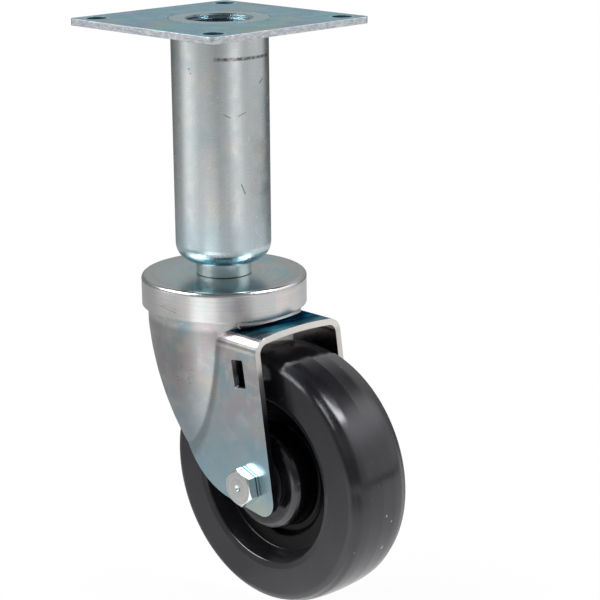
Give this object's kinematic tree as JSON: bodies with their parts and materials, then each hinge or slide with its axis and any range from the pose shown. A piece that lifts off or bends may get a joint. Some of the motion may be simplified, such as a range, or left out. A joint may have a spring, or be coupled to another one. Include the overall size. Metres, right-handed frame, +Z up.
{
  "type": "swivel castor",
  "caption": "Plate-mounted swivel castor with a screw-adjusted tubular leg, a pressed fork on two ball rings and a moulded black wheel.",
  "frame": {"origin": "centre of the mounting plate's top face, on the swivel axis", "axes": "+Z up, out of the plate's bolted face; X and Y along the plate's sides; the wheel trails towards +X and spins about Y"},
  "size_m": [0.1589, 0.1016, 0.2815],
  "materials": {
    "plate_zinc": "bright zinc plating, bluish",
    "tube_zinc": "bright zinc plating, satin",
    "stem_zinc": "bright zinc plating, turned",
    "cap_zinc": "bright zinc plating, brushed wall",
    "fork_zinc": "bright zinc plating, pressed sheet",
    "bolt_zinc": "bright zinc plating",
    "race_steel": "ground steel",
    "ball_steel": "polished steel",
    "wheel_black": "moulded, semi-gloss",
    "cage_nylon": "moulded",
    "bush_black": "moulded"
  },
  "bodies": {
    "leg": {"mounting_plate": "plate_zinc", "leg_tube": "tube_zinc"},
    "stem": {"adjusting_stem": "stem_zinc", "head_cap": "cap_zinc", "upper_race": "race_steel", "lower_race": "race_steel", "king_washer": "bolt_zinc", "king_nut": "bolt_zinc"},
    "upper_ball_ring": {"upper_balls": "ball_steel"},
    "lower_ball_ring": {"lower_balls": "ball_steel"},
    "fork": {"fork": "fork_zinc", "axle_bolt": "bolt_zinc", "axle_lock_washer": "bolt_zinc", "axle_nut": "bolt_zinc", "axle_sleeve": "race_steel", "near_hub_bush": "bush_black", "far_hub_bush": "bush_black"},
    "wheel": {"wheel": "wheel_black", "bearing_liner": "race_steel"},
    "roller_ring": {"roller_cage": "cage_nylon", "bearing_rollers": "ball_steel"}
  },
  "joints": [
    {"name": "height_adjust", "type": "slide", "parent": "leg", "child": "stem", "axis": [0, 0, -1], "range_m": [-0.005, 0.02]},
    {"name": "swivel", "type": "hinge", "parent": "stem", "child": "fork", "pos_m": [0, 0, 0], "axis": [0, 0, 1], "continuous": true},
    {"name": "upper_ball_orbit", "type": "hinge", "parent": "stem", "child": "upper_ball_ring", "pos_m": [0, 0, 0], "axis": [0, 0, 1], "continuous": true},
    {"name": "lower_ball_orbit", "type": "hinge", "parent": "stem", "child": "lower_ball_ring", "pos_m": [0, 0, 0], "axis": [0, 0, 1], "continuous": true},
    {"name": "wheel_spin", "type": "hinge", "parent": "fork", "child": "wheel", "pos_m": [0.04465, 0, -0.218], "axis": [0, 1, 0], "continuous": true},
    {"name": "roller_orbit", "type": "hinge", "parent": "fork", "child": "roller_ring", "pos_m": [0.04465, 0, -0.218], "axis": [0, 1, 0], "continuous": true}
  ],
  "couplings": [
    {"joint": "upper_ball_orbit", "follows": "swivel", "ratio": 0.5},
    {"joint": "lower_ball_orbit", "follows": "swivel", "ratio": 0.5},
    {"joint": "roller_orbit", "follows": "wheel_spin", "ratio": 0.6183}
  ]
}
